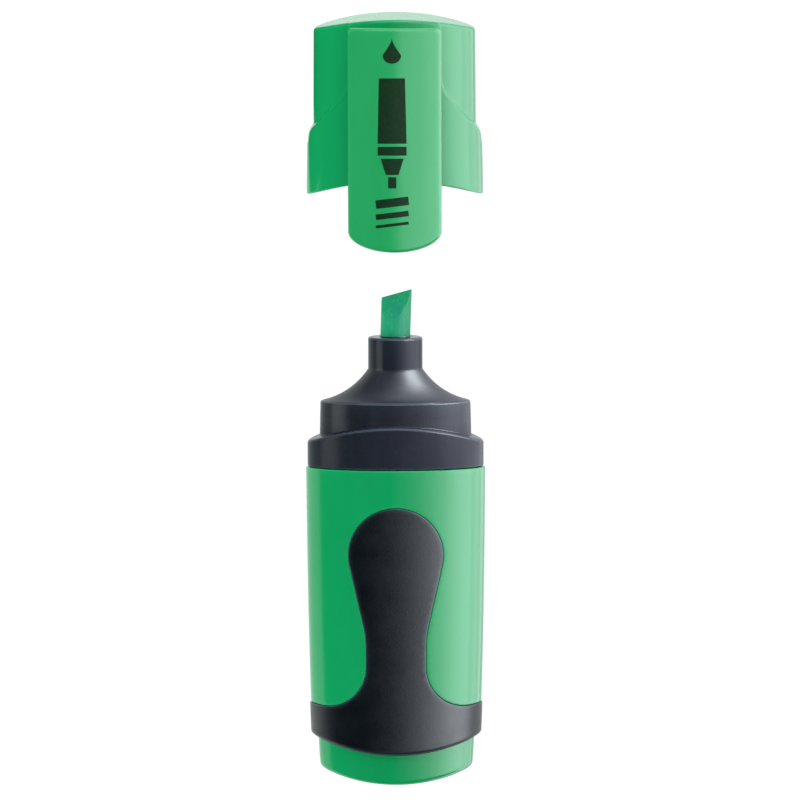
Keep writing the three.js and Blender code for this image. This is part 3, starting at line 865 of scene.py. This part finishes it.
def pad_height(x, y):
    half, land, ramp, height = CLIP_PAD
    along = np.clip((land + ramp - np.abs(y - CLIP_PAD_Y)) / ramp, 0, 1)
    across = np.clip((half - np.abs(x)) / CLIP_PAD_RAMP + 0.5, 0, 1)
    return height * along * across


def pocket_clip():
    outline = clip_outline(0)
    count = len(outline)
    under = clip_outline(0.1)
    rows = [
        np.column_stack([under, clip_under(*under.T)]),
        np.column_stack([outline, clip_under(*outline.T) + 0.1]),
    ]
    for u, v in quarter_turn(6):
        level = clip_outline(CLIP_EDGE * u)
        rows.append(np.column_stack([level, crown(level[:, 0]) - CLIP_EDGE * v]))
    points = np.concatenate(rows)
    faces = grid_faces(len(rows), count, wrap_columns=False)
    for rim, height in ((under, clip_under), (level, lambda x, y: crown(x))):
        flat, made = triangulated(joined(rim))
        faces += [tuple(len(points) + i for i in face) for face in made]
        points = np.concatenate([points, np.column_stack([flat, height(*flat.T)])])
    faces += [tuple(len(points) + v for v in face[::-1]) for face in faces]
    points = np.concatenate([points, points * np.array([-1, 1, 1])])
    return piece("clip_blade", points, faces, in_cap=True, sharp=42)


# ---- Print on the clip ---------------------------------------------------------------


def ribbon(line, widths):
    """The two long edges of a flat stroke along a line."""
    ahead = np.gradient(line, axis=0)
    normals = np.stack([-ahead[:, 1], ahead[:, 0]], axis=1)
    normals /= np.linalg.norm(normals, axis=1, keepdims=True)
    offset = normals * np.asarray(widths)[..., None] / 2
    return line - offset, line + offset


PRINT_LIFT = 0.012
PRINT_MIDDLE = -0.35
DROP_TOP = 67.9
DROP_HEIGHT = 3.4
DROP_WIDTH = 2.5
DROP_WIDEST = 0.66
# The marker's body, collar, nozzle and nib: from and to which height, and how wide there.
MARKER = (
    (62.55, 53.75, 3.5, 3.9),
    (53.35, 52.15, 3.9, 3.9),
    (51.75, 49.55, 3.1, 1.7),
    (49.25, 47.75, 1.1, 1.1),
)
BARS = ((45.55, 1.15), (43.85, 0.75), (42.55, 0.4))
BAR_HALF = 2.2
BAR_SLANT = 0.12


def clip_print():
    """A generic pictogram: a drop, a marker pointing down the clip, and bars of three widths."""
    points = []
    faces = []

    def stroke(xs, ys, widths):
        low, high = ribbon(np.column_stack([xs, ys]), widths)
        start = len(points)
        for side in np.linspace(0, 1, 4):
            for x, y in low + (high - low) * side:
                points.append((x, y, crown(x) + PRINT_LIFT))
        faces.extend(grid_faces(4, len(low), wrap_columns=False, start=start))

    t = np.linspace(0, 1, 24)
    round_end = np.sqrt(np.clip(1 - ((t - DROP_WIDEST) / (1 - DROP_WIDEST)) ** 2, 0, 1))
    widths = DROP_WIDTH * np.where(t < DROP_WIDEST, (t / DROP_WIDEST) ** 1.4, round_end)
    stroke(np.full(24, PRINT_MIDDLE), DROP_TOP - DROP_HEIGHT * t, np.maximum(widths, 0.04))
    for top, bottom, top_width, bottom_width in MARKER:
        ys = np.linspace(top, bottom, 10)
        stroke(np.full(10, PRINT_MIDDLE), ys, np.linspace(top_width, bottom_width, 10))
    for y, width in BARS:
        xs = np.linspace(-BAR_HALF, BAR_HALF, 12)
        stroke(PRINT_MIDDLE + xs, y + BAR_SLANT * (xs + BAR_HALF), np.full(12, width))
    return piece("clip_print", np.array(points), faces, in_cap=True, sharp=60)


# ---- Materials -----------------------------------------------------------------------


class Shader:
    """A small builder of node trees that read Object coordinates in millimetres."""

    def __init__(self, name):
        self.material = bpy.data.materials.new(name)
        self.material.use_nodes = True
        self.tree = self.material.node_tree
        self.bsdf = self.tree.nodes["Principled BSDF"]
        coordinates = self.tree.nodes.new("ShaderNodeTexCoord")
        self.where = self.tree.nodes.new("ShaderNodeVectorMath")
        self.where.operation = "SCALE"
        self.where.inputs["Scale"].default_value = 1 / MM
        self.tree.links.new(coordinates.outputs["Object"], self.where.inputs[0])

    def feed(self, socket, value):
        """Sets a socket to a number or a colour, or links it to a node's output."""
        if isinstance(value, tuple):
            socket.default_value = (*value, 1)
        elif isinstance(value, (int, float)):
            socket.default_value = value
        else:
            self.tree.links.new(value, socket)

    def node(self, kind, **inputs):
        made = self.tree.nodes.new("ShaderNode" + kind)
        for name, value in inputs.items():
            self.feed(made.inputs[name.replace("_", " ")], value)
        return made

    def stretched(self, stretch):
        node = self.node("VectorMath")
        node.operation = "MULTIPLY"
        node.inputs[1].default_value = stretch
        self.feed(node.inputs[0], self.where.outputs[0])
        return node.outputs[0]

    def noise(self, scale, detail=3.0, roughness=0.5, stretch=(1, 1, 1)):
        at = self.stretched(stretch)
        node = self.node("TexNoise", Vector=at, Scale=scale, Detail=detail, Roughness=roughness)
        return node.outputs["Fac"]

    def spots(self, scale):
        return self.node("TexVoronoi", Vector=self.stretched((1, 1, 1)), Scale=scale).outputs["Distance"]

    def spread(self, value, low, high, to_low, to_high):
        """A value mapped from one range to another, and kept inside it."""
        ends = {"From_Min": low, "From_Max": high, "To_Min": to_low, "To_Max": to_high}
        return self.node("MapRange", Value=value, **ends).outputs["Result"]

    def along_pen(self):
        """Millimetres from the tail's tip along the pen."""
        parts = self.node("SeparateXYZ", Vector=self.where.outputs[0])
        return self.math("SUBTRACT", parts.outputs["Y"], TAIL_Y / MM)

    def worn_and_lit(self, strength):
        """How sharply the mesh's edges are rounded, times a strength: where edges are painted paler,
        partly as wear and partly as a painted highlight.
        """
        node = self.node("Attribute")
        node.attribute_name = "edge_wear_and_highlight"
        return self.math("MULTIPLY", node.outputs["Fac"], strength)

    def mix(self, share, a, b):
        node = self.node("Mix")
        node.data_type = "RGBA"
        for name, value in (("Factor", share), ("A", a), ("B", b)):
            self.feed(node.inputs[name], value)
        return node.outputs["Result"]

    def math(self, operation, a, b):
        node = self.node("Math")
        node.operation = operation
        self.feed(node.inputs[0], a)
        self.feed(node.inputs[1], b)
        return node.outputs[0]

    def bump(self, height, distance, strength, under=None):
        node = self.node("Bump", Height=height, Distance=distance * MM, Strength=strength)
        if under is not None:
            self.feed(node.inputs["Normal"], under)
        return node.outputs["Normal"]

    def finish(self, color, roughness, **inputs):
        for name, value in {"Base_Color": color, "Roughness": roughness, **inputs}.items():
            self.feed(self.bsdf.inputs[name.replace("_", " ")], value)
        return self.material


def srgb(r, g, b):
    """An 8-bit display colour as linear light."""
    return tuple((c / 255 / 12.92) if c <= 10 else ((c / 255 + 0.055) / 1.055) ** 2.4 for c in (r, g, b))


def green_plastic(name, dark, light):
    """Satin moulded polypropylene: faint flow marks, a fine grain, and edges painted paler, partly as wear
    and partly as a painted highlight.
    """
    s = Shader(name)
    flow = s.noise(0.22, detail=2, stretch=(1, 0.22, 1))
    grain = s.noise(6.0, detail=3, roughness=0.6)
    specks = s.noise(1.6, detail=5, roughness=0.65)
    color = s.mix(s.spread(flow, 0.35, 0.65, 0, 1), dark, light)
    color = s.mix(s.spread(specks, 0.62, 0.8, 0, 0.12), color, srgb(20, 172, 106))
    # Rounded edges painted paler green: partly wear, partly a painted highlight.
    color = s.mix(s.worn_and_lit(0.3), color, srgb(60, 190, 130))
    scuffs = s.noise(0.9, detail=6, roughness=0.7, stretch=(1, 0.35, 1))
    rough = s.math("ADD", s.spread(scuffs, 0.3, 0.75, 0.16, 0.23), s.spread(grain, 0.3, 0.7, -0.02, 0.02))
    normal = s.bump(grain, 0.01, 0.4)
    return s.finish(color, rough, Normal=normal, Specular_IOR_Level=0.5)


def dark_plastic(name):
    """Dark grey moulded plastic: smooth on neck and nozzle, with a broader sheen on the cone."""
    s = Shader(name)
    flow = s.noise(0.3, detail=2, stretch=(1, 0.3, 1))
    grain = s.noise(9.0, detail=3, roughness=0.6)
    color = s.mix(s.spread(flow, 0.35, 0.65, 0, 1), srgb(21, 20, 26), srgb(26, 25, 32))
    # Rounded edges painted paler grey: partly wear, partly a painted highlight.
    color = s.mix(s.worn_and_lit(0.3), color, srgb(84, 90, 100))
    scuffs = s.noise(1.1, detail=4, roughness=0.6)
    along = s.along_pen()
    cone = (NECK_TOP_Y - 0.2, NECK_TOP_Y + 0.3)
    nozzle = (CONE_TOP - 0.3, CONE_TOP + 0.3)
    satin = s.math("MINIMUM", s.spread(along, *cone, 0.26, 0.42), s.spread(along, *nozzle, 0.42, 0.2))
    rough = s.math("ADD", s.spread(scuffs, 0.3, 0.75, -0.03, 0.04), satin)
    normal = s.bump(grain, 0.01, 0.3)
    neck = s.spread(along, FLANGE_TOP - 1.0, FLANGE_TOP + 0.5, 0.1, 0.15)
    shine = s.math("ADD", neck, s.spread(along, *cone, 0, 0.17))
    shine = s.math("MINIMUM", shine, s.spread(along, *nozzle, 0.32, 0.11))
    return s.finish(color, rough, Normal=normal, Specular_IOR_Level=shine)


def black_rubber(name):
    """Soft-touch moulded rubber: a matt, slightly blue charcoal with a fine even grain."""
    s = Shader(name)
    cloud = s.noise(0.35, detail=3)
    grain = s.noise(7.0, detail=4, roughness=0.65)
    pores = s.spots(9.0)
    color = s.mix(s.spread(cloud, 0.35, 0.65, 0, 1), srgb(1, 5, 12), srgb(3, 8, 16))
    color = s.mix(s.spread(grain, 0.62, 0.78, 0, 0.4), color, srgb(50, 56, 66))
    # Rounded edges painted paler grey: partly wear, partly a painted highlight.
    color = s.mix(s.worn_and_lit(0.4), color, srgb(82, 90, 100))
    rough = s.spread(cloud, 0.3, 0.7, 0.34, 0.42)
    normal = s.bump(grain, 0.03, 0.6)
    normal = s.bump(pores, 0.02, 0.35, normal)
    return s.finish(color, rough, Normal=normal, Specular_IOR_Level=0.62)


def wet_felt(name):
    """Sintered fibre soaked with ink: streaks along the rod, darker where the ink pools."""
    s = Shader(name)
    fibre = s.noise(4.0, detail=4, roughness=0.7, stretch=(1, 0.12, 1))
    fine = s.noise(11.0, detail=3, roughness=0.7, stretch=(1, 0.3, 1))
    pool = s.noise(0.45, detail=2, stretch=(1.5, 0.8, 1.5))
    color = s.mix(s.spread(fibre, 0.35, 0.65, 0, 1), srgb(12, 152, 98), srgb(56, 182, 122))
    color = s.mix(s.spread(pool, 0.42, 0.62, 0, 0.7), color, srgb(20, 156, 122))
    color = s.mix(s.spread(fine, 0.6, 0.8, 0, 0.5), color, srgb(96, 206, 150))
    rough = s.spread(fibre, 0.3, 0.7, 0.45, 0.7)
    normal = s.bump(fibre, 0.06, 0.5)
    normal = s.bump(fine, 0.025, 0.6, normal)
    return s.finish(color, rough, Normal=normal, Specular_IOR_Level=0.3)


def wet_fibre(name):
    """The reservoir's bundled fibres, seen as fine streaks along it."""
    s = Shader(name)
    fibre = s.noise(5.0, detail=4, roughness=0.7, stretch=(1, 0.05, 1))
    color = s.mix(s.spread(fibre, 0.35, 0.65, 0, 1), srgb(74, 182, 118), srgb(132, 220, 164))
    rough = s.spread(fibre, 0.3, 0.7, 0.7, 0.9)
    normal = s.bump(fibre, 0.05, 0.6)
    return s.finish(color, rough, Normal=normal, Specular_IOR_Level=0.3)


def clear_film(name):
    """Thin clear wrap, crinkled along its length."""
    s = Shader(name)
    crinkle = s.noise(0.8, detail=4, stretch=(1, 0.3, 1))
    color = s.mix(s.spread(crinkle, 0.4, 0.6, 0, 1), srgb(214, 236, 222), srgb(238, 248, 242))
    rough = s.spread(crinkle, 0.3, 0.7, 0.12, 0.25)
    normal = s.bump(crinkle, 0.06, 0.5)
    return s.finish(color, rough, Normal=normal, Transmission_Weight=0.8, IOR=1.45)


def pale_plastic(name):
    """Natural, uncoloured polypropylene with a faint milky mottle."""
    s = Shader(name)
    mottle = s.noise(0.5, detail=3)
    grain = s.noise(8.0, detail=3)
    color = s.mix(s.spread(mottle, 0.35, 0.65, 0, 1), srgb(218, 228, 222), srgb(234, 240, 236))
    rough = s.spread(mottle, 0.3, 0.7, 0.38, 0.5)
    normal = s.bump(grain, 0.012, 0.5)
    return s.finish(color, rough, Normal=normal, Specular_IOR_Level=0.4)


def print_ink(name):
    """Dark green pad print, with a slightly uneven film of ink."""
    s = Shader(name)
    film = s.noise(2.5, detail=4, roughness=0.6)
    color = s.mix(s.spread(film, 0.35, 0.7, 0, 1), srgb(0, 38, 6), srgb(0, 48, 12))
    rough = s.spread(film, 0.3, 0.7, 0.3, 0.42)
    normal = s.bump(film, 0.01, 0.5)
    return s.finish(color, rough, Normal=normal, Specular_IOR_Level=0.4)


def table_top(name):
    """The pale floor: a softly glowing table with a faint mottle, so that shade hardly shows."""
    s = Shader(name)
    color = s.mix(s.noise(0.06, detail=2), (0.14, 0.14, 0.14), (0.18, 0.18, 0.18))
    glow = {"Emission_Color": (1, 1, 1), "Emission_Strength": FLOOR_GLOW}
    return s.finish(color, 0.9, Specular_IOR_Level=0.0, **glow)


# ---- Light, floor and camera ---------------------------------------------------------

FLOOR_GLOW = 0.96
FLOOR_HALF = 6.0

VIEW_TILT = math.radians(5.3)
VIEW_ROLL = math.radians(-0.16)
VIEW_LENS = 1200
VIEW_DISTANCE = 3.588
AIM = Vector((0.000616, TAIL_Y + 0.05152, AXIS_Z))

COOL = (0.88, 0.94, 1.0)
CYAN = (0.5, 1.0, 1.0)
PLASTIC_PIECES = bpy.data.collections.new("plastic_pieces")
DARK_PIECES = bpy.data.collections.new("dark_pieces")
CLIP_PIECES = bpy.data.collections.new("clip_pieces")

# The big curved screen on the right, as upright panels side by side: how bright each is.
SCREEN_GLOW = (0.5, 1.0, 2.1, 3.5, 4.9, 6.2, 6.7, 7.0)
SCREEN_STEP = 11.25
SCREEN_DISTANCE = 0.7
SCREEN_HEIGHT = 1.22
SCREEN_RISE = 0.29

# The lit strip of table: from and to how far right of the middle, and how bright.
STRIPS = (("table_far", 0.034, 0.72, 4.0), ("table_near", 0.0185, 0.034, 2.2))
STRIP_LENGTH = 0.5
STRIP_LIFT = 0.0005

# The dark card's outline, in the cap's millimetres: along its left side, then far out.
CARD = [(-26, 40), (-17, 52), (-12.5, 58), (-12.5, 150), (-3000, 150), (-3000, -300)]
CARD_LIFT = 0.0004


def floor():
    steps = np.linspace(-FLOOR_HALF, FLOOR_HALF, 9)
    points = [(x, y, 0.0) for y in steps for x in steps]
    mesh = bpy.data.meshes.new("table_top")
    mesh.from_pydata(points, [], grid_faces(9, 9, wrap_columns=False))
    made = shown("table_top", mesh)
    mesh.materials.append(table_top("pale_table"))


def softbox(name, size, glow, color=COOL, only=None):
    """An area light of a size in metres that glows evenly, on some pieces or on all."""
    data = bpy.data.lights.new(name, "AREA")
    data.shape = "RECTANGLE"
    data.size, data.size_y = size
    data.energy = glow * math.pi * size[0] * size[1]
    data.color = color
    made = shown(name, data)
    made.visible_camera = False
    if only is not None:
        made.light_linking.receiver_collection = only
    return made


def aimed(light, off_axis, around, distance):
    """Hangs a light in a direction from the middle of the pen, facing it."""
    toward = Vector(from_angles(off_axis, around))
    across = Vector((0, 1, 0)).cross(toward).normalized()
    light.location = AIM + toward * distance
    light.rotation_mode = "QUATERNION"
    light.rotation_quaternion = Matrix((across, toward.cross(across), toward)).transposed().to_quaternion()
    return light


def from_angles(off_axis, around):
    """A direction off the view axis (+Z), turned round from +X towards +Y, in degrees."""
    a = math.radians(off_axis)
    b = math.radians(around)
    return (math.sin(a) * math.cos(b), math.sin(a) * math.sin(b), math.cos(a))


def camera():
    data = bpy.data.cameras.new("view")
    data.lens = VIEW_LENS
    data.sensor_width = 36
    data.clip_start = 0.1
    data.clip_end = 100
    made = shown("view", data)
    lean = math.sin(VIEW_TILT)
    back = Vector((-math.sin(VIEW_ROLL) * lean, math.cos(VIEW_ROLL) * lean, math.cos(VIEW_TILT)))
    made.location = AIM + back * VIEW_DISTANCE
    made.rotation_euler = (-VIEW_TILT, 0, VIEW_ROLL)
    bpy.context.scene.camera = made


def world():
    scene = bpy.context.scene
    scene.world = bpy.data.worlds.new("studio")
    scene.world.use_nodes = True
    background = scene.world.node_tree.nodes["Background"]
    background.inputs["Color"].default_value = (1, 1, 1, 1)
    background.inputs["Strength"].default_value = 0.03
    scene.view_settings.view_transform = "Standard"


def lights():
    width = 2 * SCREEN_DISTANCE * math.tan(math.radians(SCREEN_STEP / 2))
    for i, glow in enumerate(SCREEN_GLOW):
        screen = softbox(f"screen_{i}", (width, SCREEN_HEIGHT), glow)
        aimed(screen, off_axis=SCREEN_STEP * (i + 0.5), around=0, distance=SCREEN_DISTANCE)
        screen.location.y += SCREEN_RISE
        screen.visible_diffuse = False

    # A lit strip of table on the right, which the plastic mirrors and the rubber doesn't.
    for name, near, far, glow in STRIPS:
        lit = softbox(name, (far - near, STRIP_LENGTH), glow, only=PLASTIC_PIECES)
        lit.location = ((near + far) / 2, AIM.y, STRIP_LIFT)
        lit.rotation_euler = (math.pi, 0, 0)
        lit.visible_diffuse = False

    for name, around, glow in (("fill_left", 180, 1.55), ("fill_right", 0, 1.06)):
        fill = softbox(name, (1.5, 1.5), glow, color=CYAN)
        aimed(fill, off_axis=48, around=around, distance=0.9)
        fill.visible_glossy = False
    aimed(softbox("top", (0.4, 0.5), 1.4), off_axis=58, around=90, distance=0.7)
    aimed(softbox("nib_end", (0.8, 0.3), 3.2), off_axis=84, around=76, distance=0.8)
    side = softbox("left_strip", (0.38, 0.5), 4.4, only=DARK_PIECES)
    aimed(side, off_axis=72, around=180, distance=0.7)
    flare = softbox("upper_right", (0.6, 0.5), 27.0, only=DARK_PIECES)
    aimed(flare, off_axis=70, around=34, distance=0.7)
    panel = softbox("clip_panel", (0.54, SCREEN_HEIGHT), 1.9, only=CLIP_PIECES)
    aimed(panel, off_axis=24, around=0, distance=0.69)
    panel.location.y += SCREEN_RISE
    panel.visible_diffuse = False


def dark_card():
    """A dark card on the table beside the cap, which only shows as a reflection in it."""
    points = place([(x, y, 0) for x, y in CARD], in_cap=True)
    points[:, 2] = CARD_LIFT
    mesh = bpy.data.meshes.new("dark_card")
    mesh.from_pydata(points.tolist(), [], [tuple(range(len(points)))])
    mesh.materials.append(Shader("dark_card").finish((0.01, 0.01, 0.01), 0.5))
    made = shown("dark_card", mesh)
    made.visible_camera = False
    made.visible_diffuse = False
    made.visible_shadow = False
    made.visible_transmission = False


# ---- The build -----------------------------------------------------------------------


def dress(made, material, slot, body, node):
    """Gives a piece its material, the lamps that light it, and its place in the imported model."""
    made.data.materials.append(material)
    if slot in ("green_plastic", "dark_plastic"):
        PLASTIC_PIECES.objects.link(made)
    if slot == "dark_plastic":
        DARK_PIECES.objects.link(made)
    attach(made, body)
    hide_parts(node)


camera()
world()
floor()
lights()
dark_card()

GREEN = green_plastic("green_satin_plastic", srgb(0, 158, 88), srgb(0, 162, 92))
# The clip is the same green plastic as the cap; its paler base colour is a painted highlight for the extra
# light it catches.
CLIP_GREEN_PAINTED_PALE = green_plastic("green_plastic_painted_pale", srgb(44, 166, 93), srgb(50, 169, 97))
dress(barrel(), GREEN, "green_plastic", "pen", "barrel")
dress(tail_plug(), GREEN, "green_plastic", "pen", "tail_plug")
dress(grip_sleeve(), black_rubber("charcoal_rubber"), "black_rubber", "pen", "grip_sleeve")
dress(front_section(), dark_plastic("dark_grey_plastic"), "dark_plastic", "pen", "front_section")
dress(felt_nib(), wet_felt("inked_felt"), "wet_felt", "pen", "nib")
dress(reservoir_core(), wet_fibre("inked_fibre"), "wet_fibre", "pen", "reservoir_core")
dress(reservoir_film(), clear_film("clear_wrap"), "clear_film", "pen", "reservoir_film")
dress(cap_shell(), GREEN, "green_plastic", "cap", "cap_shell")
dress(inner_cap(), pale_plastic("natural_plastic"), "pale_plastic", "cap", "inner_cap")

blade = pocket_clip()
blade.data.materials.append(CLIP_GREEN_PAINTED_PALE)
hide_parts("pocket_clip")
decoration = clip_print()
decoration.data.materials.append(print_ink("print_ink"))
PLASTIC_PIECES.objects.link(blade)
CLIP_PIECES.objects.link(blade)
for flexing in (blade, decoration):
    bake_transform(flexing)
